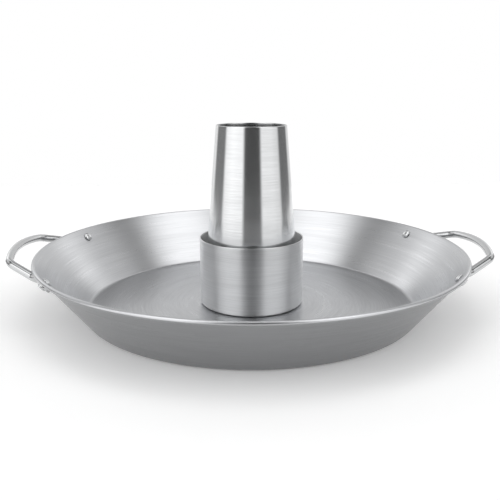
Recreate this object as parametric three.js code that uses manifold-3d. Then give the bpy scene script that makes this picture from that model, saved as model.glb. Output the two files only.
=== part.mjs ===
// Upright poultry roaster in stainless steel: a round flared pan with two riveted rod
// handles, a straight-sided cup standing in its middle, and a tapered open tube in the cup.
//
// Units are millimetres and +Z is up. The origin is the middle of the pan's underside, on
// the surface the pan stands on. The handles stand out along +X (right) and -X (left).

import * as THREE from 'three';
import { mergeVertices } from 'three/addons/utils/BufferGeometryUtils.js';
import Module from 'manifold-3d';

const wasm = await Module();
wasm.setup();

// ---------------------------------------------------------------- driving dimensions

// Pan: one sheet, spun to a flat floor and a straight flared wall with a rolled edge.
const PAN_SHEET = 1.2;
const PAN_FLOOR_RADIUS = 128.4;    // where wall and floor would meet without their round corner
const PAN_HEIGHT = 45.5;           // underside to top of the rolled edge
const WALL_SLOPE = THREE.MathUtils.degToRad(52.2);    // of the wall above the horizontal
const PAN_CORNER_RADIUS = 4.3;     // inside corner of floor and wall
const EDGE_ROLL_RADIUS = 1.5;

// Flavour cup: drawn from one sheet, standing loose on the pan's floor.
const CUP_SHEET = 1.0;
const CUP_RADIUS = 40.5;           // outside
const CUP_HEIGHT = 52.8;
const CUP_CORNER_RADIUS = 1.5;     // inside corner of floor and wall

// Infuser cone: tapered tube, open at both ends, standing loose on the cup's floor.
const CONE_SHEET = 1.0;
const CONE_TOP_RADIUS = 26.8;      // outside
const CONE_LENGTH = 137.5;
const CONE_SIDE_CLEARANCE = 1.1;   // between the cone's foot and the cup's wall

// Handles: round rod bent to a bow, its ends hammered flat and riveted under the edge.
const ROD_RADIUS = 3.0;
const FINGER_GAP = 13;             // from the pan's edge to the rod's inner side at mid-grip
const GRIP_TOP_RISE = 5.7;         // top of the rod at mid-grip above the pan's edge
const GRIP_HALF_WIDTH = 39.6;      // from mid-grip to the corner where a leg begins
const GRIP_BOW = 5.7;              // how far mid-grip stands out past the corners
const GRIP_ARCH = 2.9;             // how far mid-grip stands above the corners
const CORNER_BEND_RADIUS = 14;
const FOOT_BEND_RADIUS = 10;
const FOOT_HALF_WIDTH = 5;
const FOOT_THICKNESS = 2.2;
const FOOT_TO_BEND = 11;           // from the rivet to the bend into the leg
const FOOT_TO_TIP = 8;             // from the rivet to the rounded tip
const FOOT_BELOW_ROLL = 1.25;      // least, from the rolled edge down to the foot's upper side
const ROD_BELOW_ROLL = 3.25;       // least, from the rolled edge to a full rod at the rivet's level
const FOOT_SQUARENESS = 5;         // of the flattened section: 2 is an ellipse
const ROUNDING_LEAD = 0.5;         // how far before the bend the foot starts to turn round
const ROUNDING_TAPER = 4.7;        // length of bar for each millimetre of half thickness gained

// Rivets: one through each foot and the pan's wall.
const RIVET_SPREAD = 68;           // sideways from the handle's middle
const RIVET_SHANK_RADIUS = 2.0;
const RIVET_HEAD_RADIUS = 3.6;
const RIVET_HEAD_HEIGHT = 1.9;
const RIVET_TAIL_RADIUS = 3.2;
const RIVET_TAIL_HEIGHT = 1.5;

// Gap between faces that touch on the real object.
const SEAT_GAP = 0.3;

// Facets round a circle.
const PAN_FACETS = 64;
const CUP_FACETS = 48;
const RIVET_FACETS = 16;
const ROD_FACETS = 10;

// Lengths of bar between its sections.
const TIP_STEPS = 6;
const FOOT_STEP = 2.2;
const ROD_STEP = 3.2;

// ---------------------------------------------------------------- what follows from them

// Outlines are drawn in the plane of radius and height. wallUp runs up the wall and wallOut
// straight out of it.
const wallUp = new THREE.Vector2(Math.cos(WALL_SLOPE), Math.sin(WALL_SLOPE));
const wallOut = new THREE.Vector2(wallUp.y, -wallUp.x);

// The rolled edge lies outside the wall, whose inner face meets it as a tangent.
const rollHeight = PAN_HEIGHT - EDGE_ROLL_RADIUS;
const wallLength = (rollHeight - wallOut.y * EDGE_ROLL_RADIUS - PAN_SHEET) / wallUp.y;
const wallFoot = new THREE.Vector2(PAN_FLOOR_RADIUS, PAN_SHEET);
const wallTop = wallFoot.clone().addScaledVector(wallUp, wallLength);
const rollCentre = wallTop.clone().addScaledVector(wallOut, EDGE_ROLL_RADIUS);
const panEdgeRadius = rollCentre.x + EDGE_ROLL_RADIUS;

const cupBase = PAN_SHEET + SEAT_GAP;
const coneBase = cupBase + CUP_SHEET + SEAT_GAP;
const coneFootRadius = CUP_RADIUS - CUP_SHEET - CONE_SIDE_CLEARANCE;

// Where a rivet's axis leaves the wall's inner face.
const rivetBelowRoll = Math.max(FOOT_HALF_WIDTH + FOOT_BELOW_ROLL, ROD_RADIUS + ROD_BELOW_ROLL);
const rivetSeat = wallTop.clone().addScaledVector(wallUp, -(EDGE_ROLL_RADIUS + rivetBelowRoll));
const rivetAngle = Math.asin(RIVET_SPREAD / rivetSeat.x);
const footInnerFace = PAN_SHEET + SEAT_GAP;           // measured out from the wall's inner face
const footOuterFace = footInnerFace + FOOT_THICKNESS;

// ---------------------------------------------------------------- finishes

const steel = (color, roughness) => new THREE.MeshStandardMaterial({ color, roughness, metalness: 1 });
const finishes = {
  pan: () => steel(0xb4b5b6, 0.34),
  cup: () => steel(0xb9babb, 0.28),
  cone: () => steel(0xc0c1c2, 0.24),
  rod: () => steel(0xd2d3d4, 0.12),
  rivet: () => steel(0xcccdce, 0.15),
};

// ---------------------------------------------------------------- shape helpers

// Points of a round stretch of outline about a centre, from one angle to another.
function roundStretch(centre, radius, from, to, steps) {
  return Array.from({ length: steps + 1 }, (_, i) => {
    const angle = THREE.MathUtils.lerp(from, to, i / steps);
    return new THREE.Vector2(
      centre.x + radius * Math.cos(angle),
      centre.y + radius * Math.sin(angle),
    );
  });
}

// Turns an outline of radius and height into a solid of revolution about +Z.
function turned(outline, facets) {
  return new THREE.LatheGeometry(outline, facets).rotateX(Math.PI / 2);
}

// Merges a closed mesh's shared vertices and hands it over as a solid.
function toSolid(geometry) {
  const bare = geometry.clone();
  bare.deleteAttribute('normal');
  bare.deleteAttribute('uv');
  const merged = mergeVertices(bare, 1e-4);
  const index = merged.getIndex().array;
  const corners = [];
  for (let i = 0; i < index.length; i += 3) {
    const [a, b, c] = [index[i], index[i + 1], index[i + 2]];
    if (a !== b && b !== c && c !== a) corners.push(a, b, c);
  }
  return new wasm.Manifold(new wasm.Mesh({
    numProp: 3,
    vertProperties: new Float32Array(merged.getAttribute('position').array),
    triVerts: new Uint32Array(corners),
  }));
}

// The other way: a solid's vertices and triangles as a geometry.
function toGeometry(solid) {
  const mesh = solid.getMesh();
  const geometry = new THREE.BufferGeometry();
  geometry.setAttribute('position', new THREE.BufferAttribute(mesh.vertProperties, 3));
  geometry.setIndex(new THREE.BufferAttribute(mesh.triVerts, 1));
  geometry.computeVertexNormals();
  return geometry;
}

// Cuts round holes out of a geometry. Each hole is a placement matrix, whose Z is its axis.
function bored(geometry, radius, length, placements) {
  const drill = new THREE.CylinderGeometry(radius, radius, length, RIVET_FACETS).rotateX(Math.PI / 2);
  return toGeometry(placements.reduce(
    (solid, placement) => solid.subtract(toSolid(drill.clone().applyMatrix4(placement))),
    toSolid(geometry),
  ));
}

// A rivet's placement at an angle round the pan from +X: its origin is on the wall's inner
// face, its X runs round the pan and its Z points into the pan, straight out of the wall.
function rivetPlacement(angle) {
  const radial = new THREE.Vector3(Math.cos(angle), Math.sin(angle), 0);
  const out = radial.clone().multiplyScalar(wallOut.x).setZ(wallOut.y);
  const zAxis = out.clone().negate();
  const xAxis = new THREE.Vector3(-radial.y, radial.x, 0);
  const yAxis = new THREE.Vector3().crossVectors(zAxis, xAxis);
  const origin = radial.clone().multiplyScalar(rivetSeat.x).setZ(rivetSeat.y);
  return new THREE.Matrix4().makeBasis(xAxis, yAxis, zAxis).setPosition(origin);
}

const handleRivetAngles = [-rivetAngle, rivetAngle];
const holeRadius = RIVET_SHANK_RADIUS + SEAT_GAP;
const holeLength = 4 * footOuterFace;      // ample to pass through wall and foot

// ---------------------------------------------------------------- pan

function panGeometry() {
  const wallNormal = WALL_SLOPE - Math.PI / 2;
  // The corner's inner and outer stretches share one centre.
  const cornerCentre = new THREE.Vector2(
    PAN_FLOOR_RADIUS - PAN_CORNER_RADIUS * Math.tan(WALL_SLOPE / 2),
    PAN_SHEET + PAN_CORNER_RADIUS,
  );
  // The roll starts where the wall's outer face runs into it and ends at the inner face.
  const rollStart = WALL_SLOPE - Math.PI - Math.asin(1 - PAN_SHEET / EDGE_ROLL_RADIUS);
  const rollEnd = WALL_SLOPE + Math.PI / 2;
  const outline = [
    new THREE.Vector2(0, 0),
    ...roundStretch(cornerCentre, PAN_CORNER_RADIUS + PAN_SHEET, -Math.PI / 2, wallNormal, 5),
    ...roundStretch(rollCentre, EDGE_ROLL_RADIUS, rollStart, rollEnd, 9),
    ...roundStretch(cornerCentre, PAN_CORNER_RADIUS, wallNormal, -Math.PI / 2, 4),
    new THREE.Vector2(0, PAN_SHEET),
  ];
  const holes = [0, Math.PI].flatMap(
    (side) => handleRivetAngles.map((angle) => rivetPlacement(side + angle)),
  );
  return bored(turned(outline, PAN_FACETS), holeRadius, holeLength, holes);
}

// ---------------------------------------------------------------- cup and cone

function cupGeometry() {
  const inner = CUP_RADIUS - CUP_SHEET;
  const lip = CUP_SHEET / 2;
  const corner = new THREE.Vector2(inner - CUP_CORNER_RADIUS, CUP_SHEET + CUP_CORNER_RADIUS);
  return turned([
    new THREE.Vector2(0, 0),
    ...roundStretch(corner, CUP_CORNER_RADIUS + CUP_SHEET, -Math.PI / 2, 0, 4),
    ...roundStretch(new THREE.Vector2(CUP_RADIUS - lip, CUP_HEIGHT - lip), lip, 0, Math.PI, 4),
    ...roundStretch(corner, CUP_CORNER_RADIUS, 0, -Math.PI / 2, 3),
    new THREE.Vector2(0, CUP_SHEET),
  ], CUP_FACETS);
}

function coneGeometry() {
  const lip = CONE_SHEET / 2;
  const lipCentre = new THREE.Vector2(CONE_TOP_RADIUS - lip, CONE_LENGTH - lip);
  const footCentre = new THREE.Vector2(coneFootRadius - lip, lip);
  const outline = [
    ...roundStretch(footCentre, lip, -Math.PI, 0, 4),
    ...roundStretch(lipCentre, lip, 0, Math.PI, 4),
  ];
  return turned([...outline, outline[0].clone()], CUP_FACETS);
}

// ---------------------------------------------------------------- handles

// Half of the grip: an arc in plan from a corner to mid-grip, arched a little upwards.
class GripHalf extends THREE.Curve {
  constructor(midGrip, trim) {
    super();
    this.midGrip = midGrip;
    this.radius = (GRIP_BOW ** 2 + GRIP_HALF_WIDTH ** 2) / (2 * GRIP_BOW);
    this.cornerAngle = Math.asin(GRIP_HALF_WIDTH / this.radius);
    this.startAngle = this.cornerAngle - trim / this.radius;
  }

  pointAtAngle(angle) {
    const y = this.radius * Math.sin(angle);
    return new THREE.Vector3(
      this.midGrip.x - this.radius * (1 - Math.cos(angle)),
      y,
      this.midGrip.z - GRIP_ARCH * (y / GRIP_HALF_WIDTH) ** 2,
    );
  }

  getPoint(t) {
    return this.pointAtAngle(this.startAngle * (1 - t));
  }
}

// How far back from a sharp corner a bend of a given radius begins.
function bendSetback(before, after, radius) {
  return radius * Math.tan(before.angleTo(after) / 2);
}

// The rod's centre line from the tip of the foot on the +Y side to mid-grip.
function halfHandlePath() {
  const seat = rivetPlacement(rivetAngle);
  const footMiddle = new THREE.Vector3(0, 0, -(footInnerFace + footOuterFace) / 2).applyMatrix4(seat);
  const footAlong = new THREE.Vector3(1, 0, 0).transformDirection(seat);
  const tip = footMiddle.clone().addScaledVector(footAlong, FOOT_TO_TIP);
  const ankle = footMiddle.clone().addScaledVector(footAlong, -FOOT_TO_BEND);

  const midGrip = new THREE.Vector3(
    panEdgeRadius + FINGER_GAP + ROD_RADIUS,
    0,
    PAN_HEIGHT + GRIP_TOP_RISE - ROD_RADIUS,
  );
  const fullGrip = new GripHalf(midGrip, 0);
  const corner = fullGrip.pointAtAngle(fullGrip.cornerAngle);
  const legAlong = corner.clone().sub(ankle).normalize();
  const footBack = footAlong.clone().negate();
  const anklePull = bendSetback(footBack, legAlong, FOOT_BEND_RADIUS);
  const cornerPull = bendSetback(legAlong, fullGrip.getTangent(0), CORNER_BEND_RADIUS);
  const grip = new GripHalf(midGrip, cornerPull);

  const ankleStart = ankle.clone().addScaledVector(footBack, -anklePull);
  const ankleEnd = ankle.clone().addScaledVector(legAlong, anklePull);
  const cornerStart = corner.clone().addScaledVector(legAlong, -cornerPull);
  const path = new THREE.CurvePath();
  path.add(new THREE.LineCurve3(tip, ankleStart));
  path.add(new THREE.QuadraticBezierCurve3(ankleStart, ankle, ankleEnd));
  path.add(new THREE.LineCurve3(ankleEnd, cornerStart));
  path.add(new THREE.QuadraticBezierCurve3(cornerStart, corner, grip.getPoint(0)));
  path.add(grip);
  return path;
}

// Where the bar starts to turn round, and where it is round, from the foot's tip.
const roundingStart = FOOT_TO_TIP + FOOT_TO_BEND - ROUNDING_LEAD;
const roundingEnd = roundingStart + ROUNDING_TAPER * (ROD_RADIUS - FOOT_THICKNESS / 2);

// Section of the bar at a distance from the foot's tip: flat with a half-round tip, then
// turning to a full round over the first stretch of the leg. power shapes the outline.
function barSection(distance) {
  const round = THREE.MathUtils.smoothstep(distance, roundingStart, roundingEnd);
  const tipReach = Math.min(distance / FOOT_HALF_WIDTH, 1);
  const tipRound = Math.sqrt(1 - (1 - tipReach) ** 2);
  return {
    halfWidth: THREE.MathUtils.lerp(FOOT_HALF_WIDTH, ROD_RADIUS, round) * tipRound,
    halfThick: THREE.MathUtils.lerp(FOOT_THICKNESS / 2, ROD_RADIUS, round),
    power: THREE.MathUtils.lerp(FOOT_SQUARENESS, 2, round),
  };
}

// Distances of the sections from the foot's tip: at even angles round the tip, then close
// together until the bar is round, then wider apart.
function sectionDistances(length) {
  const roundTip = Array.from({ length: TIP_STEPS }, (_, i) => {
    const angle = ((i + 1) / TIP_STEPS) * (Math.PI / 2);
    return FOOT_HALF_WIDTH * (1 - Math.cos(angle));
  });
  const spread = (from, to, step) => {
    const steps = Math.round((to - from) / step);
    return Array.from({ length: steps }, (_, i) => THREE.MathUtils.lerp(from, to, (i + 1) / steps));
  };
  return [
    ...roundTip,
    ...spread(FOOT_HALF_WIDTH, roundingEnd, FOOT_STEP),
    ...spread(roundingEnd, length, ROD_STEP),
  ];
}

// Skins a row of sections into one closed body. Each ring is a superellipse round its
// centre: side is its width direction and face its thickness direction.
function skinned(rings, facets) {
  const positions = [];
  const index = [];
  for (const { centre, side, face, section } of rings) {
    for (let k = 0; k < facets; k += 1) {
      const angle = (2 * Math.PI * (k + 0.5)) / facets;
      const bulge = (value) => Math.sign(value) * Math.abs(value) ** (2 / section.power);
      const point = centre.clone()
        .addScaledVector(side, section.halfWidth * bulge(Math.cos(angle)))
        .addScaledVector(face, section.halfThick * bulge(Math.sin(angle)));
      positions.push(point.x, point.y, point.z);
    }
  }
  const at = (ring, k) => ring * facets + (k % facets);
  const last = rings.length - 1;
  for (let ring = 0; ring < last; ring += 1) {
    for (let k = 0; k < facets; k += 1) {
      index.push(at(ring, k), at(ring, k + 1), at(ring + 1, k + 1));
      index.push(at(ring, k), at(ring + 1, k + 1), at(ring + 1, k));
    }
  }
  for (let k = 1; k < facets - 1; k += 1) {
    index.push(at(0, 0), at(0, k + 1), at(0, k));
    index.push(at(last, 0), at(last, k), at(last, k + 1));
  }
  const geometry = new THREE.BufferGeometry();
  geometry.setAttribute('position', new THREE.Float32BufferAttribute(positions, 3));
  geometry.setIndex(index);
  geometry.computeVertexNormals();
  return geometry;
}

function handleGeometry() {
  const path = halfHandlePath();
  const length = path.getLength();
  const up = new THREE.Vector3(0, 0, 1);
  const intoPan = new THREE.Vector3(0, 0, 1).transformDirection(rivetPlacement(rivetAngle));
  const half = sectionDistances(length).map((distance) => {
    const share = distance / length;
    const twist = THREE.MathUtils.smoothstep(distance, roundingStart, length);
    return {
      centre: path.getPoint(share),
      tangent: path.getTangent(share),
      facing: intoPan.clone().lerp(up, twist),
      section: barSection(distance),
    };
  });
  const mirrored = ({ centre, tangent, facing, section }) => ({
    centre: centre.clone().setY(-centre.y),
    tangent: new THREE.Vector3(-tangent.x, tangent.y, -tangent.z),
    facing: facing.clone().setY(-facing.y),
    section,
  });
  const stations = [...half, ...half.slice(0, -1).reverse().map(mirrored)];
  const rings = stations.map(({ centre, tangent, facing, section }) => {
    const side = new THREE.Vector3().crossVectors(facing, tangent).normalize();
    const face = new THREE.Vector3().crossVectors(tangent, side).normalize();
    return { centre, side, face, section };
  });
  const holes = handleRivetAngles.map(rivetPlacement);
  return bored(skinned(rings, ROD_FACETS), holeRadius, holeLength, holes);
}

// ---------------------------------------------------------------- rivets

// Turned about the rivet's own axis, from the formed tail outside the foot, along the
// shank, to the domed head inside the pan.
function rivetGeometry() {
  const dome = (base, radius, height, sign, steps) => Array.from({ length: steps + 1 }, (_, i) => {
    const angle = (i / steps) * (Math.PI / 2);
    return new THREE.Vector2(radius * Math.cos(angle), base + sign * height * Math.sin(angle));
  });
  const tailSeat = -(footOuterFace + SEAT_GAP);
  const tail = dome(tailSeat, RIVET_TAIL_RADIUS, RIVET_TAIL_HEIGHT, -1, 4).reverse();
  const head = dome(SEAT_GAP, RIVET_HEAD_RADIUS, RIVET_HEAD_HEIGHT, 1, 5);
  tail[0].x = 0;
  head[head.length - 1].x = 0;
  return turned([
    ...tail,
    new THREE.Vector2(RIVET_SHANK_RADIUS, tailSeat),
    new THREE.Vector2(RIVET_SHANK_RADIUS, SEAT_GAP),
    ...head,
  ], RIVET_FACETS);
}

// ---------------------------------------------------------------- assembly

function named(name, geometry, material) {
  const mesh = new THREE.Mesh(geometry, material);
  mesh.name = name;
  return mesh;
}

const roaster = new THREE.Group();

roaster.add(named('pan', panGeometry(), finishes.pan()));

for (const [side, turn] of [['right', 0], ['left', Math.PI]]) {
  const handle = named(`${side}_handle`, handleGeometry(), finishes.rod());
  handle.rotation.z = turn;
  roaster.add(handle);
  for (const angle of handleRivetAngles.map((offset) => offset + turn)) {
    const end = Math.sin(angle) < 0 ? 'front' : 'rear';
    const rivet = named(`${side}_${end}_rivet`, rivetGeometry(), finishes.rivet());
    rivet.applyMatrix4(rivetPlacement(angle));
    roaster.add(rivet);
  }
}

const cup = named('flavour_cup', cupGeometry(), finishes.cup());
cup.position.z = cupBase;
roaster.add(cup);

const cone = named('infuser_cone', coneGeometry(), finishes.cone());
cone.position.z = coneBase;
roaster.add(cone);

export default roaster;
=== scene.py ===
"""Looks of an upright poultry roaster in stainless steel.

A spun, flared pan with a rolled edge carries two bent-rod handles on rivets. A drawn cup
stands loose on its floor, and a tapered open tube stands loose in the cup. Sizes are in
millimetres and become metres where a mesh is made. +X runs through the right handle, +Y
to the back and +Z up, and the middle of the pan's underside is the origin.
"""

import logging
import math
from dataclasses import dataclass, field
from enum import Enum

import bpy
import numpy as np
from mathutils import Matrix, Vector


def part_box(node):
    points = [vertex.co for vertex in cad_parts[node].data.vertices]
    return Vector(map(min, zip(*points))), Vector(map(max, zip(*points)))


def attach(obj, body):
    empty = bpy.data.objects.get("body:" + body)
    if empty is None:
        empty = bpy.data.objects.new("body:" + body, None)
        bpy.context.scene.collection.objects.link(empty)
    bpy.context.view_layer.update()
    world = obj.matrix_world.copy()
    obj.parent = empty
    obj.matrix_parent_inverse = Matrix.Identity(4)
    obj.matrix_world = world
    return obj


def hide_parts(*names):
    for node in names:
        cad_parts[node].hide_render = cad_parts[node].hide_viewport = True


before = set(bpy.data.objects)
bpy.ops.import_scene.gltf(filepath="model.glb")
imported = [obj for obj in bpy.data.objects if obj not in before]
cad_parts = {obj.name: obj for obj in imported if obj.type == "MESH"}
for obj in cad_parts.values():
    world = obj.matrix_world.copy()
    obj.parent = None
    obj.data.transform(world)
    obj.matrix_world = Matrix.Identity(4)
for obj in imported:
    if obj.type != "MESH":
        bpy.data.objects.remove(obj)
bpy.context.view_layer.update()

log = logging.getLogger("roaster")

MM = 0.001
FULL_TURN = 2 * math.pi
# The outer side and the roll's underside get painted shade: this attribute lets the outside tint darken
# them.
OUTSIDE_SHADE = "outside_shade"               # attribute that is 1 on the side turned away from the food
WALL_STEP = 6.0                   # longest step along a turned outline
DRILL_STEPS = 48                  # steps round a drilled hole
SHARP_CORNER = math.radians(40)   # a sharper turn than this between faces stays a crisp edge


class Body(Enum):
    """What a piece moves with."""

    PAN = "pan"
    CUP = "cup"
    CONE = "cone"


class Side(Enum):
    """A handle's side, by its turn about the pan's axis from +X."""

    RIGHT = 0.0
    LEFT = math.pi


# ------------------------------------------------------------------ outlines and grids


def arc(centre: np.ndarray, radius: float, start: float, end: float, steps: int) -> np.ndarray:
    """Points of a round stretch: centre + radius * (cos a, sin a), a even from start to end.

    Args:
        centre: The arc's centre, as radius and height.
        radius: The arc's radius.
        start: First angle, in radians.
        end: Last angle, in radians.
        steps: Number of equal steps.

    Returns:
        An array of steps + 1 points.
    """
    angle = np.linspace(start, end, steps + 1)
    return np.asarray(centre) + radius * np.stack([np.cos(angle), np.sin(angle)], axis=1)


def refined(line: np.ndarray, longest: float) -> np.ndarray:
    """Splits each stretch of a line into equal steps, none longer than a given length.

    Args:
        line: Points of the line, one per row.
        longest: The longest step allowed.

    Returns:
        The same line with more points, its corners kept.
    """
    ahead = np.diff(line, axis=0)
    counts = np.maximum(1, np.ceil(np.linalg.norm(ahead, axis=1) / longest)).astype(int)
    within = np.arange(counts.sum()) - np.repeat(np.cumsum(counts) - counts, counts)
    step = np.repeat(ahead / counts[:, None], counts, axis=0)
    return np.vstack([np.repeat(line[:-1], counts, axis=0) + step * within[:, None], line[-1]])


def ring_faces(rings: int, around: int, joined: bool) -> np.ndarray:
    """Four-sided faces between neighbouring rings of a grid that closes round each ring.

    Args:
        rings: Number of rings.
        around: Points in each ring.
        joined: Whether the last ring also joins the first.

    Returns:
        One row of four point numbers for each face.
    """
    row = np.arange(rings if joined else rings - 1)[:, None]
    column = np.arange(around)[None, :]
    ahead, beside = (row + 1) % rings, (column + 1) % around
    corners = [row * around + column, ahead * around + column, ahead * around + beside]
    corners.append(row * around + beside)
    return np.stack([np.broadcast_to(c, (row.size, around)) for c in corners], axis=-1).reshape(-1, 4)


def cap_faces(ring: int, around: int, pole: int, turned: bool) -> np.ndarray:
    """Triangles from one ring to its pole.

    Args:
        ring: Number of the ring.
        around: Points in the ring.
        pole: Point number of the pole.
        turned: Whether the triangles run the other way round.

    Returns:
        One row of three point numbers for each triangle.
    """
    here = ring * around + np.arange(around)
    beside = ring * around + (np.arange(around) + 1) % around
    pair = (beside, here) if turned else (here, beside)
    return np.stack([*pair, np.full(around, pole)], axis=1)


def make_piece(name: str, points: np.ndarray, quads: np.ndarray, caps: np.ndarray) -> bpy.types.Object:
    """Puts a closed grid into a new mesh, with its faces pointing outwards.

    The sign of the enclosed volume, the sum of a . (b x c) over the triangles, tells which
    way the faces point.

    Args:
        name: The piece's name.
        points: Corner points in millimetres.
        quads: Faces of four points.
        caps: Faces of three points, or an empty array.

    Returns:
        The new object, at the origin.
    """
    triangles = np.vstack([quads[:, [0, 1, 2]], quads[:, [0, 2, 3]], caps.reshape(-1, 3)])
    a, b, c = (points[triangles[:, k]] for k in range(3))
    inside_out = np.einsum("ij,ij->", a, np.cross(b, c)) < 0
    faces = [quads[:, ::-1] if inside_out else quads, caps[:, ::-1] if inside_out else caps]
    corners = np.concatenate([face.ravel() for face in faces]).astype(np.int32)
    sizes = np.repeat([4, 3], [len(quads), len(caps)])
    mesh = bpy.data.meshes.new(name)
    mesh.vertices.add(len(points))
    mesh.vertices.foreach_set("co", (points * MM).astype(np.float32).ravel())
    mesh.loops.add(len(corners))
    mesh.loops.foreach_set("vertex_index", corners)
    mesh.polygons.add(len(sizes))
    mesh.polygons.foreach_set("loop_start", (np.cumsum(sizes) - sizes).astype(np.int32))
    mesh.update(calc_edges=True)
    mesh.shade_smooth()
    mesh.set_sharp_from_angle(angle=SHARP_CORNER)
    piece = bpy.data.objects.new(name, mesh)
    bpy.context.scene.collection.objects.link(piece)
    return piece


def turned_grid(outline: np.ndarray, around: int) -> tuple[np.ndarray, np.ndarray, np.ndarray]:
    """Turns an outline about +Z: each point is (r cos a, r sin a, z), a even round the axis.

    An outline that starts and ends on the axis gets a pole at each end, and any other
    closes on itself.

    Args:
        outline: Points of radius and height.
        around: Steps round the axis.

    Returns:
        Points, four-sided faces and three-sided faces.
    """
    on_axis = outline[0, 0] < 1e-6 and outline[-1, 0] < 1e-6
    swept = outline[1:-1] if on_axis else outline
    angle = np.arange(around) * FULL_TURN / around
    radius, height = swept[:, :1], swept[:, 1:]
    rings = np.stack([radius * np.cos(angle), radius * np.sin(angle), height + 0 * angle], axis=-1)
    points = rings.reshape(-1, 3)
    quads = ring_faces(len(swept), around, not on_axis)
    if not on_axis:
        return points, quads, np.zeros((0, 3), int)
    poles = [[0, 0, outline[0, 1]], [0, 0, outline[-1, 1]]]
    caps = [
        cap_faces(0, around, len(points), True),
        cap_faces(len(swept) - 1, around, len(points) + 1, False),
    ]
    return np.vstack([points, poles]), quads, np.vstack(caps)


def unit(vector: np.ndarray) -> np.ndarray:
    """A vector, or each row of several, at length one."""
    return vector / np.linalg.norm(vector, axis=-1, keepdims=True)


def eased(value: np.ndarray, start: float, end: float) -> np.ndarray:
    """A smooth step from 0 at start to 1 at end: t * t * (3 - 2 t)."""
    t = np.clip((value - start) / (end - start), 0, 1)
    return t * t * (3 - 2 * t)


# ------------------------------------------------------------------ finishes


def linear(hex_colour: str) -> tuple[float, float, float, float]:
    """An sRGB hex colour as linear red, green and blue, with full alpha."""
    parts = [int(hex_colour[k:k + 2], 16) / 255 for k in (1, 3, 5)]
    return (*((p / 12.92 if p <= 0.04045 else ((p + 0.055) / 1.055) ** 2.4) for p in parts), 1.0)


def add(tree: bpy.types.NodeTree, kind: str, settings: dict, links: dict) -> bpy.types.Node:
    """Adds a node with its settings and links.

    Args:
        tree: The node tree.
        kind: The node's type name.
        settings: Attribute names, or input names and numbers, and their values.
        links: Input names or numbers, and the output sockets that feed them.

    Returns:
        The new node.
    """
    node = tree.nodes.new(kind)
    for key, value in settings.items():
        if isinstance(key, str) and hasattr(node, key):
            setattr(node, key, value)
        else:
            node.inputs[key].default_value = value
    for key, source in links.items():
        tree.links.new(source, node.inputs[key])
    return node


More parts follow.
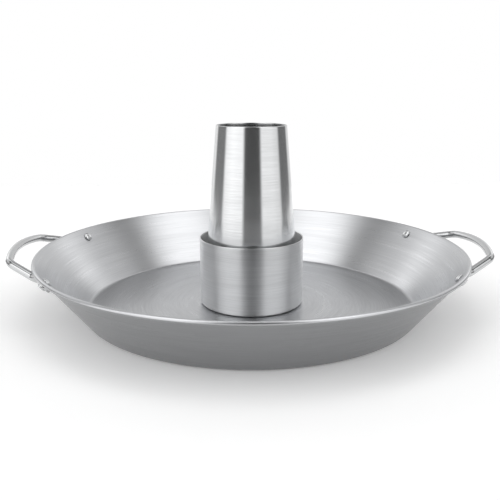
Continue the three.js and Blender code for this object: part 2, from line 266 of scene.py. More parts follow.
@dataclass(frozen=True)
class SatinSteel:
    """Stainless sheet, brushed round its axis as it spins on the lathe.

    The fine scratches run round the axis, so a highlight spreads up and down across them
    and stays narrow round the piece.
    """

    name: str
    bright: str                   # colour of the cleanest metal
    dull: str                     # colour where the scratches lie closest
    roughness: float
    roughness_spread: float       # how much it changes from scratch to scratch
    spread: float                 # 0 is an even gloss, 1 the longest streak of light
    scratch_pitch: float = 0.55   # real scratches are 0.1 mm apart, drawn coarser to show
    scratch_turns: float = 3.0    # scratches that follow each other round the piece
    band_pitch: float = 7.0       # width of the broader lathe marks
    band_turns: float = 0.5       # lathe marks that follow each other round the piece
    band_share: float = 0.35      # how strong they are beside the scratches
    outside_shade: str = "#FFFFFF"      # tint of the outer side: its duller mill skin, darkened further as painted shade
    scratch_depth: float = 0.008
    relief: float = 0.35          # share of that depth that shows
    tone_reach: float = 0.2       # how far the scratches' noise strays from its middle

    def material(self) -> bpy.types.Material:
        """Builds the finish.

        Returns:
            The material, on Object coordinates and so free of seams.
        """
        made = bpy.data.materials.new(self.name)
        made.use_nodes = True
        tree = made.node_tree
        tree.nodes.clear()
        place = add(tree, "ShaderNodeTexCoord", {}, {})
        axes = add(tree, "ShaderNodeSeparateXYZ", {}, {0: place.outputs["Object"]})
        flat = add(tree, "ShaderNodeCombineXYZ", {}, {0: axes.outputs[0], 1: axes.outputs[1]})
        radius = add(tree, "ShaderNodeVectorMath", {"operation": "LENGTH"}, {0: flat.outputs[0]})
        heading = add(tree, "ShaderNodeVectorMath", {"operation": "NORMALIZE"}, {0: flat.outputs[0]})
        along = add(tree, "ShaderNodeMath", {}, {0: radius.outputs["Value"], 1: axes.outputs[2]})
        grains = []
        for pitch, turns, detail in (
            (self.scratch_pitch, self.scratch_turns, 3.0),
            (self.band_pitch, self.band_turns, 1.0),
        ):
            level = add(tree, "ShaderNodeMath", {"operation": "MULTIPLY", 1: 1 / (pitch * MM)},
                        {0: along.outputs[0]})
            lift = add(tree, "ShaderNodeCombineXYZ", {}, {2: level.outputs[0]})
            round_axis = add(tree, "ShaderNodeVectorMath", {"operation": "SCALE", "Scale": turns},
                             {0: heading.outputs[0]})
            where = add(tree, "ShaderNodeVectorMath", {}, {0: round_axis.outputs[0], 1: lift.outputs[0]})
            grains.append(add(tree, "ShaderNodeTexNoise", {"Scale": 1.0, "Detail": detail},
                              {"Vector": where.outputs[0]}))
        mixed = add(tree, "ShaderNodeMath", {"operation": "MULTIPLY_ADD", 1: self.band_share},
                    {0: grains[1].outputs[0], 2: grains[0].outputs[0]})
        middle = 0.5 * (1 + self.band_share)
        tone = add(tree, "ShaderNodeMapRange", {"From Min": middle - self.tone_reach,
                                                "From Max": middle + self.tone_reach},
                   {"Value": mixed.outputs[0]})
        colour = add(tree, "ShaderNodeMix", {"data_type": "RGBA", 6: linear(self.dull),
                                             7: linear(self.bright)}, {0: tone.outputs[0]})
        # Painted shade: the marked outer side and the roll's underside are multiplied by the darker outside
        # tint.
        side = add(tree, "ShaderNodeAttribute", {"attribute_name": OUTSIDE_SHADE}, {})
        shaded_colour = add(tree, "ShaderNodeMix", {"data_type": "RGBA", "blend_type": "MULTIPLY",
                                             7: linear(self.outside_shade)},
                     {0: side.outputs["Fac"], 6: colour.outputs[2]})
        gloss = add(tree, "ShaderNodeMapRange",
                    {"To Min": self.roughness + self.roughness_spread,
                     "To Max": self.roughness - self.roughness_spread},
                    {"Value": tone.outputs[0]})
        relief = add(tree, "ShaderNodeBump",
                     {"Strength": self.relief, "Distance": self.scratch_depth * MM},
                     {"Height": grains[0].outputs[0]})
        run = add(tree, "ShaderNodeTangent", {"direction_type": "RADIAL", "axis": "Z"}, {})
        shader = add(tree, "ShaderNodeBsdfPrincipled",
                     {"Metallic": 1.0, "Anisotropic": self.spread, "Anisotropic Rotation": 0.25},
                     {"Base Color": shaded_colour.outputs[2], "Roughness": gloss.outputs[0],
                      "Normal": relief.outputs[0], "Tangent": run.outputs[0]})
        add(tree, "ShaderNodeOutputMaterial", {}, {0: shader.outputs[0]})
        return made


@dataclass(frozen=True)
class PolishedSteel:
    """Stainless rod or rivet wire, buffed bright after forming.

    Buffing leaves a sharp gloss over faint, long waves from the hammer and the die.
    """

    name: str
    bright: str
    dull: str
    roughness: float
    wave_pitch: float = 6.0
    wave_depth: float = 0.03
    relief: float = 0.5           # share of that depth that shows
    hairlines: float = 6.0        # fine marks to each wave
    clean: float = 0.75           # roughness between the marks, as a share of the whole
    marked: float = 1.3           # roughness on them

    def material(self) -> bpy.types.Material:
        """Builds the finish.

        Returns:
            The material, on Object coordinates.
        """
        made = bpy.data.materials.new(self.name)
        made.use_nodes = True
        tree = made.node_tree
        tree.nodes.clear()
        place = add(tree, "ShaderNodeTexCoord", {}, {})
        wave = add(tree, "ShaderNodeTexNoise", {"Scale": 1 / (self.wave_pitch * MM), "Detail": 3.0},
                   {"Vector": place.outputs["Object"]})
        hairline = add(tree, "ShaderNodeTexNoise",
                       {"Scale": self.hairlines / (self.wave_pitch * MM), "Detail": 4.0,
                        "Distortion": 0.6},
                       {"Vector": place.outputs["Object"]})
        colour = add(tree, "ShaderNodeMix", {"data_type": "RGBA", 6: linear(self.dull),
                                             7: linear(self.bright)}, {0: hairline.outputs[0]})
        gloss = add(tree, "ShaderNodeMapRange",
                    {"From Min": 0.3, "From Max": 0.7, "To Min": self.clean * self.roughness,
                     "To Max": self.marked * self.roughness}, {"Value": hairline.outputs[0]})
        relief = add(tree, "ShaderNodeBump",
                     {"Strength": self.relief, "Distance": self.wave_depth * MM},
                     {"Height": wave.outputs[0]})
        shader = add(tree, "ShaderNodeBsdfPrincipled", {"Metallic": 1.0},
                     {"Base Color": colour.outputs[2], "Roughness": gloss.outputs[0],
                      "Normal": relief.outputs[0]})
        add(tree, "ShaderNodeOutputMaterial", {}, {0: shader.outputs[0]})
        return made


# Spun on the lathe and brushed inside: a broad, soft gleam. Outside it keeps the mill's
# duller skin, tinted darker still as painted shade.
PAN_FINISH = SatinSteel("spun_satin_stainless", "#CDCED0", "#C0C1C3", 0.30, 0.03, 0.45,
                        outside_shade="#C8C8C8")
# Drawn in a press, then brushed with a coarse belt: tall, blurred strips of light.
CUP_FINISH = SatinSteel("drawn_satin_stainless", "#D8D9DA", "#CCCDCE", 0.36, 0.03, 1.0,
                        scratch_pitch=0.5, band_pitch=5.0, scratch_turns=1.5, scratch_depth=0.003)
# Rolled and brushed with a fine belt: crisp bright and dark strips.
CONE_FINISH = SatinSteel("bright_satin_stainless", "#DCDDDE", "#D0D1D2", 0.16, 0.02, 0.8,
                         scratch_pitch=0.5, band_pitch=9.0, scratch_turns=1.5, scratch_depth=0.004)
# Drawn wire, bent, hammered at its ends and buffed: near-mirror lines along the rod.
ROD_FINISH = PolishedSteel("polished_stainless_rod", "#CFD0D1", "#C2C3C4", 0.10)
# Cold-headed wire, buffed with the pan: a small bright spot on each dome.
RIVET_FINISH = PolishedSteel("polished_stainless_rivet", "#D6D7D8", "#C8C9CA", 0.13)


def settle(piece: bpy.types.Object, finish: bpy.types.Material, body: Body,
           node: str) -> bpy.types.Object:
    """Dresses a piece, and lets it stand for its node and move with its body.

    Args:
        piece: The finished piece.
        finish: Its material.
        body: What it moves with.
        node: The node that it stands for.

    Returns:
        The same piece.
    """
    piece.data.materials.clear()
    piece.data.materials.append(finish)
    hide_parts(node)
    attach(piece, body.value)
    return piece


def drilled(piece: bpy.types.Object, frames: list[np.ndarray], radius: float, length: float) -> None:
    """Cuts round holes through a piece.

    Args:
        piece: The piece to cut.
        frames: One 4 by 4 placement for each hole, whose Z is its axis.
        radius: The holes' radius.
        length: The holes' length, ample on both sides.
    """
    outline = np.array([[0, -length], [radius, -length], [radius, length], [0, length]], float)
    points, quads, caps = turned_grid(outline, DRILL_STEPS)
    placed = np.vstack([points @ at[:3, :3].T + at[:3, 3] for at in frames])
    shift = (np.arange(len(frames)) * len(points))[:, None, None]
    all_quads = (quads[None] + shift).reshape(-1, 4)
    all_caps = (caps[None] + shift).reshape(-1, 3)
    cutter = make_piece(f"{piece.name}_drill", placed, all_quads, all_caps)
    cut = piece.modifiers.new("drill", "BOOLEAN")
    cut.operation = "DIFFERENCE"
    cut.solver = "EXACT"
    cut.object = cutter
    graph = bpy.context.evaluated_depsgraph_get()
    result = bpy.data.meshes.new_from_object(piece.evaluated_get(graph))
    piece.modifiers.clear()
    piece.data = result
    piece.data.set_sharp_from_angle(angle=SHARP_CORNER)
    bpy.data.objects.remove(cutter)


# ------------------------------------------------------------------ pan


@dataclass
class Pan:
    """Spun sheet pan: flat floor, round corner, straight flared wall and rolled edge."""

    sheet: float = 1.2
    floor_radius: float = 128.4       # where wall and floor would meet without their corner
    slope: float = math.radians(52.2)
    corner_radius: float = 4.3
    roll_radius: float = 1.5
    seam_width: float = 0.9           # of the fine gap where the roll's cut edge meets the wall
    seam_depth: float = 0.8
    around: int = 320
    height: float = field(init=False)

    def __post_init__(self) -> None:
        """Takes the height from the frame, and works out the wall."""
        self.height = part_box("pan")[1].z / MM
        self.up = np.array([math.cos(self.slope), math.sin(self.slope)])
        self.out = np.array([self.up[1], -self.up[0]])
        roll_height = self.height - self.roll_radius
        length = (roll_height - self.out[1] * self.roll_radius - self.sheet) / self.up[1]
        self.wall_top = np.array([self.floor_radius, self.sheet]) + self.up * length
        self.roll_centre = self.wall_top + self.out * self.roll_radius

    @property
    def edge_radius(self) -> float:
        """Outer radius of the rolled edge."""
        return self.roll_centre[0] + self.roll_radius

    def outline(self) -> np.ndarray:
        """The pan's outline from the underside's middle, round the edge, to the floor's middle.

        Returns:
            Points of radius and height.
        """
        corner = np.array([
            self.floor_radius - self.corner_radius * math.tan(self.slope / 2),
            self.sheet + self.corner_radius,
        ])
        normal = self.slope - math.pi / 2
        start = self.slope - math.pi - math.asin(1 - self.sheet / self.roll_radius)
        roll = arc(self.roll_centre, self.roll_radius, start, self.slope + math.pi / 2, 30)
        below = roll[0] - self.up * self.seam_width
        seam = [below, roll[0] - self.up * self.seam_width / 2 - self.out * self.seam_depth]
        line = np.vstack([
            [0, 0],
            arc(corner, self.corner_radius + self.sheet, -math.pi / 2, normal, 14),
            seam,
            roll,
            arc(corner, self.corner_radius, normal, -math.pi / 2, 12),
            [0, self.sheet],
        ])
        return refined(line, WALL_STEP)

    def build(self, holes: list[np.ndarray], hole_radius: float) -> bpy.types.Object:
        """Makes the pan and cuts its rivet holes.

        Args:
            holes: Placements of the rivet holes.
            hole_radius: Their radius.

        Returns:
            The pan.
        """
        piece = make_piece("pan_shell", *turned_grid(self.outline(), self.around))
        drilled(piece, holes, hole_radius, 3 * self.sheet)
        self.mark_outside_shade(piece.data)
        return settle(piece, PAN_FINISH.material(), Body.PAN, "pan")

    def mark_outside_shade(self, mesh: bpy.types.Mesh) -> None:
        """Marks the outer side and the roll's underside for the darker tint, which paints shade on both.

        The distance out of the wall is (r - r0) * out_r + (z - z0) * out_z.

        Args:
            mesh: The pan's mesh.
        """
        flat = np.zeros(3 * len(mesh.vertices), np.float32)
        mesh.vertices.foreach_get("co", flat)
        place = flat.reshape(-1, 3) / MM
        radius, height = np.hypot(place[:, 0], place[:, 1]), place[:, 2]
        out = (radius - self.floor_radius) * self.out[0] + (height - self.sheet) * self.out[1]
        # The roll's lower half counts in here too, so the tint paints shade under the roll.
        outer_wall = (out > self.sheet / 2) & (height < self.roll_centre[1])
        painted_shade = outer_wall | (height < self.sheet / 2)
        mark = mesh.attributes.new(OUTSIDE_SHADE, "FLOAT", "POINT")
        mark.data.foreach_set("value", painted_shade.astype(np.float32))


# ------------------------------------------------------------------ rivets


@dataclass
class Rivets:
    """Solid rivets, one through each foot and the wall, with the domed head inside."""

    pan: Pan
    spread: float = 68.0              # sideways from the handle's middle
    below_roll: float = 6.25          # from the roll down the wall to the rivet's axis
    shank_radius: float = 2.0
    head_radius: float = 3.6
    head_height: float = 1.9
    tail_radius: float = 3.2
    tail_height: float = 1.5
    gap: float = 0.3                  # between faces that touch
    foot_thickness: float = 2.2
    rim: float = 0.25                 # upright rim below each dome
    rim_ease: float = 0.08            # how far the face under a dome stops short of its rim
    around: int = 56

    def __post_init__(self) -> None:
        """Works out where the rivets stand on the wall."""
        self.seat = self.pan.wall_top - self.pan.up * (self.pan.roll_radius + self.below_roll)
        self.angle = math.asin(self.spread / self.seat[0])
        self.foot_inner = self.pan.sheet + self.gap
        self.foot_outer = self.foot_inner + self.foot_thickness

    def placement(self, angle: float) -> np.ndarray:
        """A rivet's placement: X round the pan, Z into the pan, its origin on the inner wall.

        Args:
            angle: Angle round the pan from +X.

        Returns:
            A 4 by 4 matrix.
        """
        radial = np.array([math.cos(angle), math.sin(angle), 0.0])
        inward = -(radial * self.pan.out[0] + [0, 0, self.pan.out[1]])
        along = np.array([-radial[1], radial[0], 0.0])
        at = np.eye(4)
        at[:3, 0], at[:3, 1], at[:3, 2] = along, np.cross(inward, along), inward
        at[:3, 3] = radial * self.seat[0] + [0, 0, self.seat[1]]
        return at

    def outline(self) -> np.ndarray:
        """Outline from the formed tail, along the shank, to the domed head.

        A dome is (R cos a, H sin a), with a small upright rim below it.

        Returns:
            Points of radius and height along the rivet.
        """
        rise = np.linspace(0, math.pi / 2, 15)
        tail_seat = -(self.foot_outer + self.gap)
        head_lift = self.gap + self.rim + (self.head_height - self.rim) * np.sin(rise)
        tail_lift = tail_seat - self.rim - (self.tail_height - self.rim) * np.sin(rise)
        head = np.stack([self.head_radius * np.cos(rise), head_lift], 1)
        tail = np.stack([self.tail_radius * np.cos(rise), tail_lift], 1)
        head[-1, 0] = tail[-1, 0] = 0
        return np.vstack([
            tail[::-1],
            [self.tail_radius - self.rim_ease, tail_seat],
            [self.shank_radius, tail_seat],
            [self.shank_radius, self.gap],
            [self.head_radius - self.rim_ease, self.gap],
            head,
        ])

    def build(self) -> list[bpy.types.Object]:
        """Makes the four rivets, and gives them back."""
        points, quads, caps = turned_grid(self.outline(), self.around)
        finish = RIVET_FINISH.material()
        made = []
        for side in Side:
            for angle in (side.value - self.angle, side.value + self.angle):
                end = "front" if math.sin(angle) < 0 else "rear"
                name = f"{side.name.lower()}_{end}_rivet"
                at = self.placement(angle)
                piece = make_piece(f"{name}_solid", points @ at[:3, :3].T + at[:3, 3], quads, caps)
                made.append(settle(piece, finish, Body.PAN, name))
        return made


# ------------------------------------------------------------------ handles


@dataclass
class Handles:
    """Two bows of round rod, their ends hammered flat and riveted under the rolled edge."""

    pan: Pan
    rivets: Rivets
    rod_radius: float = 3.0
    finger_gap: float = 13.0          # from the pan's edge to the rod's inner side
    top_rise: float = 5.7             # top of the rod at mid-grip above the pan's edge
    half_width: float = 39.6          # from mid-grip to the corner where a leg begins
    bow: float = 5.7                  # how far mid-grip stands out past the corners
    arch: float = 2.9                 # how far mid-grip stands above the corners
    corner_bend: float = 14.0
    foot_bend: float = 10.0
    foot_half_width: float = 5.0
    foot_to_bend: float = 11.0
    foot_to_tip: float = 8.0
    squareness: float = 5.0           # power of the flattened section; 2 is an ellipse
    rounding_lead: float = 0.5
    rounding_taper: float = 4.7
    edge_round: float = 0.7           # rounding of the tip's thin edge
    fine_to: float = 32.0             # the foot and its bend get close rings as far as this
    fine_step: float = 0.6
    tip_rings: int = 21
    bow_rings: int = 90               # from there to mid-grip
    around: int = 40

    def grip(self, middle: np.ndarray, angle: np.ndarray) -> np.ndarray:
        """Points of the grip: an arc in plan whose height falls off as y squared.

        Args:
            middle: Mid-grip.
            angle: Angles about the arc's centre, 0 at mid-grip.

        Returns:
            One point for each angle.
        """
        radius = (self.bow ** 2 + self.half_width ** 2) / (2 * self.bow)
        y = radius * np.sin(angle)
        drop = self.arch * (y / self.half_width) ** 2
        return middle + np.stack([-radius * (1 - np.cos(angle)), y, -drop], axis=-1)

    def half_line(self) -> np.ndarray:
        """The rod's centre line from the foot's tip on the +Y side to mid-grip.

        Straight stretches are joined by bends (1-t)^2 a + 2 t (1-t) b + t^2 c, whose
        setback from the sharp corner b is radius * tan(half the turn).

        Returns:
            Points close together along the line.
        """
        at = self.rivets.placement(self.rivets.angle)
        depth = (self.rivets.foot_inner + self.rivets.foot_outer) / 2
        foot = at[:3, 3] - at[:3, 2] * depth
        tip = foot + at[:3, 0] * self.foot_to_tip
        ankle = foot - at[:3, 0] * self.foot_to_bend
        reach = self.pan.edge_radius + self.finger_gap + self.rod_radius
        middle = np.array([reach, 0.0, self.pan.height + self.top_rise - self.rod_radius])
        radius = (self.bow ** 2 + self.half_width ** 2) / (2 * self.bow)
        end_angle = math.asin(self.half_width / radius)
        corner = self.grip(middle, np.array([end_angle]))[0]
        near = self.grip(middle, np.array([end_angle, end_angle - 1e-4]))
        back, leg, onward = -at[:3, 0], unit(corner - ankle), unit(near[1] - near[0])
        ankle_pull = self.foot_bend * math.tan(math.acos(back @ leg) / 2)
        corner_pull = self.corner_bend * math.tan(math.acos(leg @ onward) / 2)
        bow = self.grip(middle, np.linspace(end_angle - corner_pull / radius, 0, 200))
        t = np.linspace(0, 1, 80)[:, None]
        bends = [
            (1 - t) ** 2 * a + 2 * t * (1 - t) * b + t ** 2 * c
            for a, b, c in (
                (ankle - back * ankle_pull, ankle, ankle + leg * ankle_pull),
                (corner - leg * corner_pull, corner, bow[0]),
            )
        ]
        return np.vstack([tip, bends[0], bends[1], bow[1:]])

    def grid(self) -> tuple[np.ndarray, np.ndarray, np.ndarray]:
        """Skins the rod: superellipse rings (w |cos a|^(2/p), h |sin a|^(2/p)) on its line.

        Returns:
            Points, four-sided faces and three-sided faces of the right handle.
        """
        line = refined(self.half_line(), 0.5)
        travelled = np.concatenate([[0], np.cumsum(np.linalg.norm(np.diff(line, axis=0), axis=1))])
        total = travelled[-1]
        tip_angle = np.linspace(0, math.pi / 2, self.tip_rings + 1)[1:]
        stations = np.concatenate([
            self.foot_half_width * (1 - np.cos(tip_angle)),
            np.arange(self.foot_half_width + self.fine_step, self.fine_to, self.fine_step),
            np.linspace(self.fine_to, total, self.bow_rings),
        ])
        behind, centre, ahead = (
            np.stack([np.interp(stations + step, travelled, line[:, k]) for k in range(3)], axis=1)
            for step in (-0.05, 0.0, 0.05)
        )
        tangent = unit(ahead - behind)

        flat_end = self.foot_to_tip + self.foot_to_bend - self.rounding_lead
        foot_half = self.rivets.foot_thickness / 2
        round_from = flat_end + self.rounding_taper * (self.rod_radius - foot_half)
        rounded = eased(stations, flat_end, round_from)
        twist = eased(stations, flat_end, total)[:, None]
        into_pan = self.rivets.placement(self.rivets.angle)[:3, 2]
        facing = into_pan * (1 - twist) + np.array([0, 0, 1.0]) * twist
        tip_share = np.minimum(stations / self.foot_half_width, 1)
        edge_share = np.minimum(stations / self.edge_round, 1)
        tip_width = np.sqrt(1 - (1 - tip_share) ** 2)
        tip_edge = np.sqrt(1 - (1 - edge_share) ** 2)
        half_wide = (self.foot_half_width + (self.rod_radius - self.foot_half_width) * rounded) * tip_width
        half_thick = (foot_half + (self.rod_radius - foot_half) * rounded) * tip_edge
        power = self.squareness + (2 - self.squareness) * rounded

        mirror = np.array([1, -1, 1])
        centre = np.vstack([centre, centre[-2::-1] * mirror])
        tangent = np.vstack([tangent, -tangent[-2::-1] * mirror])
        facing = np.vstack([facing, facing[-2::-1] * mirror])
        half_wide, half_thick, power = (
            np.concatenate([v, v[-2::-1]]) for v in (half_wide, half_thick, power)
        )
        side = unit(np.cross(facing, tangent))
        face = unit(np.cross(tangent, side))
        angle = (np.arange(self.around) + 0.5) * FULL_TURN / self.around
        bulge = 2 / power[:, None]
        across = np.sign(np.cos(angle)) * np.abs(np.cos(angle)) ** bulge * half_wide[:, None]
        through = np.sign(np.sin(angle)) * np.abs(np.sin(angle)) ** bulge * half_thick[:, None]
        rings = centre[:, None] + side[:, None] * across[..., None] + face[:, None] * through[..., None]
        points = rings.reshape(-1, 3)
        ends = np.stack([rings[0].mean(axis=0), rings[-1].mean(axis=0)])
        caps = np.vstack([
            cap_faces(0, self.around, len(points), True),
            cap_faces(len(rings) - 1, self.around, len(points) + 1, False),
        ])
        return np.vstack([points, ends]), ring_faces(len(rings), self.around, False), caps

    def build(self, hole_radius: float) -> list[bpy.types.Object]:
        """Makes both handles and drills their feet.

        Args:
            hole_radius: Radius of the rivet holes.

        Returns:
            The two handles.
        """
        points, quads, caps = self.grid()
        finish = ROD_FINISH.material()
        made = []
        for side in Side:
            name = f"{side.name.lower()}_handle"
            turn = np.array([math.cos(side.value), math.cos(side.value), 1.0])
            piece = make_piece(f"{name}_rod", points * turn, quads, caps)
            holes = [self.rivets.placement(side.value + s * self.rivets.angle) for s in (-1, 1)]
            drilled(piece, holes, hole_radius, 3 * self.rivets.foot_thickness)
            made.append(settle(piece, finish, Body.PAN, name))
        return made


# ------------------------------------------------------------------ cup and cone


@dataclass
class FlavourCup:
    """Straight-sided cup drawn from one sheet, standing loose on the pan's floor."""

    sheet: float = 1.0
    corner_radius: float = 1.5
    around: int = 288

    def outline(self) -> np.ndarray:
        """Outline from the underside's middle, over the rounded lip, to the floor's middle.

        Returns:
            Points of radius and height.
        """
        low, high = (np.array(corner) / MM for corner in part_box("flavour_cup"))
        radius, base, top = high[0], low[2], high[2]
        lip = self.sheet / 2
        corner = np.array([radius - self.sheet - self.corner_radius, base + self.sheet + self.corner_radius])
        line = np.vstack([
            [0, base],
            arc(corner, self.corner_radius + self.sheet, -math.pi / 2, 0, 12),
            arc(np.array([radius - lip, top - lip]), lip, 0, math.pi, 14),
            arc(corner, self.corner_radius, 0, -math.pi / 2, 10),
            [0, base + self.sheet],
        ])
        return refined(line, WALL_STEP)

    def build(self) -> bpy.types.Object:
        """Makes the cup, and gives it back."""
        piece = make_piece("flavour_cup_shell", *turned_grid(self.outline(), self.around))
        return settle(piece, CUP_FINISH.material(), Body.CUP, "flavour_cup")


@dataclass
class InfuserCone:
    """Tapered tube, open at both ends, standing loose on the cup's floor."""

    sheet: float = 1.0
    top_radius: float = 26.8
    around: int = 288

    def outline(self) -> np.ndarray:
        """Closed outline of the tube's wall, with a rounded lip at each end.

        Returns:
            Points of radius and height.
        """
        low, high = (np.array(corner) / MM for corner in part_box("infuser_cone"))
        lip = self.sheet / 2
        foot = arc(np.array([high[0] - lip, low[2] + lip]), lip, -math.pi, 0, 14)
        mouth = arc(np.array([self.top_radius - lip, high[2] - lip]), lip, 0, math.pi, 14)
        return refined(np.vstack([foot, mouth, foot[:1]]), WALL_STEP)[:-1]

    def build(self) -> bpy.types.Object:
        """Makes the cone, and gives it back."""
        piece = make_piece("infuser_cone_shell", *turned_grid(self.outline(), self.around))
        return settle(piece, CONE_FINISH.material(), Body.CONE, "infuser_cone")


# ------------------------------------------------------------------ studio


@dataclass(frozen=True)
class Lamp:
    """A soft lamp seen as an area of directions with soft edges.

    Each edge names an axis, the reach along it where the light starts and where it is full.
    Along x both sides are lit alike.
    """

    light: float
    edges: tuple[tuple[str, float, float], ...]


@dataclass
class Studio:
    """A plain pale table in a soft room, lit from both sides and from above, in metres."""

    table_half: float = 0.62
    table_squares: int = 12           # along each side
    table_drop: float = 0.0002        # how far below the pan the table lies
    table_glow: float = 0.12          # light that comes up through the table
    camera_turn: float = math.radians(-2.2)
    camera_distance: float = 0.4901   # level distance from the object's axis
    camera_height: float = 0.1697
    camera_pitch: float = math.radians(14.53)
    lens: float = 46.22               # millimetres, as is the sensor
    sensor: float = 36.0
    shift: tuple[float, float] = (-0.00294, 0.001)
    room_light: tuple[tuple[float, float], ...] = (   # degrees from the front, light there
        (0, 0.06), (21, 0.07), (29, 0.95), (60, 1.0), (84, 0.85), (93, 0.16),
        (130, 0.17), (141, 0.74), (180, 0.62),
    )
    left_lead: float = 0.14           # how much brighter the left side is
    ceiling: float = 0.32             # what is left of the room's light overhead
    ceiling_from: float = 0.42        # height of a direction, 0 to 1, where it starts to fade
    ceiling_to: float = 0.68          # and where it has faded
    lamps: tuple[Lamp, ...] = (
        Lamp(1.12, (("x", 0.06, 0.42), ("y", 0.03, -0.11), ("z", 0.44, 0.60))),
        Lamp(0.48, (("y", 0.02, 0.22), ("x", 0.35, 0.60), ("z", 0.12, 0.32), ("z", 0.75, 0.60))),
        Lamp(1.10, (("y", 0.45, 0.28), ("y", -0.12, 0.02), ("z", 0.76, 0.90))),
        Lamp(0.60, (("x", 0.15, 0.40), ("y", 0.35, 0.55), ("z", 0.54, 0.72))),
    )
    power: float = 1.3

    def place_camera(self) -> None:
        """Puts the camera in front, a little above the rim, looking slightly down."""
        data = bpy.data.cameras.new("camera")
        data.lens = self.lens
        data.sensor_width = self.sensor
        data.shift_x, data.shift_y = self.shift
        data.clip_start = 0.01
        camera = bpy.data.objects.new("camera", data)
        camera.location = (
            self.camera_distance * math.sin(self.camera_turn),
            -self.camera_distance * math.cos(self.camera_turn),
            self.camera_height,
        )
        camera.rotation_euler = (math.pi / 2 - self.camera_pitch, 0.0, self.camera_turn)
        bpy.context.scene.collection.objects.link(camera)
        bpy.context.scene.camera = camera

    def lay_table(self) -> None:
        """Lays the pale table as a grid of squares."""
        count = self.table_squares + 1
        side = np.linspace(-self.table_half, self.table_half, count)
        x, y = np.meshgrid(side, side, indexing="ij")
        points = np.stack([x, y, np.full_like(x, -self.table_drop)], axis=-1).reshape(-1, 3)
        row, column = np.meshgrid(*[np.arange(self.table_squares)] * 2, indexing="ij")
        first = (row * count + column).ravel()
        faces = np.stack([first, first + count, first + count + 1, first + 1], axis=1)
        mesh = bpy.data.meshes.new("table")
        mesh.from_pydata(points.tolist(), [], faces.tolist())
        table = bpy.data.objects.new("table", mesh)
        bpy.context.scene.collection.objects.link(table)
        # Opal acrylic, lit softly from below as on a product table: matt, white, no hard shadow.
        paint = bpy.data.materials.new("opal_acrylic")
        paint.use_nodes = True
        shader = paint.node_tree.nodes["Principled BSDF"]
        shader.inputs["Base Color"].default_value = linear("#FAFAFA")
        shader.inputs["Roughness"].default_value = 0.8
        shader.inputs["Specular IOR Level"].default_value = 0.1
        shader.inputs["Emission Color"].default_value = linear("#FFFFFF")
        shader.inputs["Emission Strength"].default_value = self.table_glow
        mesh.materials.append(paint)

    def light_room(self) -> None:
        """Lights the room by direction, before a white backdrop.

        Round the horizon the light follows how far a direction turns from the front: dim
        in front, a tall soft light at each side, dim behind them and pale at the back. The
        lamps are a canopy on each side of the front, a wing high behind each side, one
        overhead and a high bank on each side of the back.
        """
        world = bpy.data.worlds.new("studio_room")
        bpy.context.scene.world = world
        world.use_nodes = True
        tree = world.node_tree
        tree.nodes.clear()
        place = add(tree, "ShaderNodeTexCoord", {}, {})
        axes = add(tree, "ShaderNodeSeparateXYZ", {}, {0: place.outputs["Generated"]})
        flat = add(tree, "ShaderNodeCombineXYZ", {}, {0: axes.outputs[0], 1: axes.outputs[1]})
        level = add(tree, "ShaderNodeVectorMath", {"operation": "NORMALIZE"}, {0: flat.outputs[0]})
        parts = add(tree, "ShaderNodeSeparateXYZ", {}, {0: level.outputs[0]})
        depth = add(tree, "ShaderNodeMapRange", {"From Min": -1.0, "From Max": 1.0},
                    {"Value": parts.outputs[1]})
        strips = add(tree, "ShaderNodeValToRGB", {}, {0: depth.outputs[0]})
        ramp = strips.color_ramp
        while len(ramp.elements) < len(self.room_light):
            ramp.elements.new(0.5)
        for element, (turn, value) in zip(ramp.elements, self.room_light):
            element.position = (1 - math.cos(math.radians(turn))) / 2
            element.color = (value, value, value, 1.0)
        lean = add(tree, "ShaderNodeMath", {"operation": "MULTIPLY_ADD", 1: -self.left_lead, 2: 1.0},
                   {0: parts.outputs[0]})
        room = add(tree, "ShaderNodeMath", {"operation": "MULTIPLY"},
                   {0: strips.outputs[0], 1: lean.outputs[0]})
        overhead = add(tree, "ShaderNodeMapRange", {"interpolation_type": "SMOOTHSTEP",
                                                    "From Min": self.ceiling_from,
                                                    "From Max": self.ceiling_to,
                                                    "To Min": 1.0, "To Max": self.ceiling},
                       {"Value": axes.outputs[2]})
        total = add(tree, "ShaderNodeMath", {"operation": "MULTIPLY"},
                    {0: room.outputs[0], 1: overhead.outputs[0]})
        sideways = add(tree, "ShaderNodeMath", {"operation": "ABSOLUTE"}, {0: axes.outputs[0]})
        reach = {"x": sideways.outputs[0], "y": axes.outputs[1], "z": axes.outputs[2]}
        for lamp in self.lamps:
            shape = None
            for axis, start, full in lamp.edges:
                edge = add(tree, "ShaderNodeMapRange", {"interpolation_type": "SMOOTHSTEP",
                                                        "From Min": start, "From Max": full},
                           {"Value": reach[axis]})
                shape = edge if shape is None else add(
                    tree, "ShaderNodeMath", {"operation": "MULTIPLY"},
                    {0: shape.outputs[0], 1: edge.outputs[0]})
            total = add(tree, "ShaderNodeMath", {"operation": "MULTIPLY_ADD", 1: lamp.light},
                        {0: shape.outputs[0], 2: total.outputs[0]})
        studio = add(tree, "ShaderNodeBackground", {"Strength": self.power}, {"Color": total.outputs[0]})
        backdrop = add(tree, "ShaderNodeBackground", {"Color": linear("#FFFFFF")}, {})
        ray = add(tree, "ShaderNodeLightPath", {}, {})
        seen = add(tree, "ShaderNodeMixShader", {}, {0: ray.outputs["Is Camera Ray"],
                                                     1: studio.outputs[0], 2: backdrop.outputs[0]})
        add(tree, "ShaderNodeOutputWorld", {}, {0: seen.outputs[0]})

    def build(self) -> None:
        """Sets the camera, the table and the room's light."""
        self.place_camera()
        self.lay_table()
        self.light_room()
        bpy.context.scene.view_settings.view_transform = "Standard"


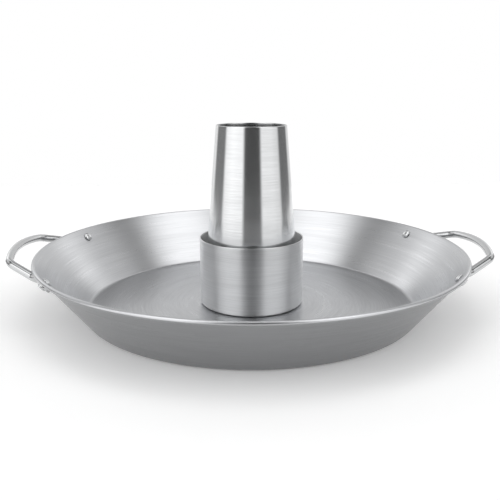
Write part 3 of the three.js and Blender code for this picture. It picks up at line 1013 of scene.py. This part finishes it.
def main() -> None:
    """Builds the studio and every piece."""
    logging.basicConfig(level=logging.INFO, format="%(name)s: %(message)s")
    Studio().build()
    pan = Pan()
    rivets = Rivets(pan)
    hole_radius = rivets.shank_radius + rivets.gap
    turns = [side.value + s * rivets.angle for side in Side for s in (-1, 1)]
    pieces = [pan.build([rivets.placement(turn) for turn in turns], hole_radius)]
    pieces += rivets.build()
    pieces += Handles(pan, rivets).build(hole_radius)
    pieces += [FlavourCup().build(), InfuserCone().build()]
    for piece in pieces:
        log.info("%s: %d faces", piece.name, len(piece.data.polygons))


if __name__ == "__main__":
    main()
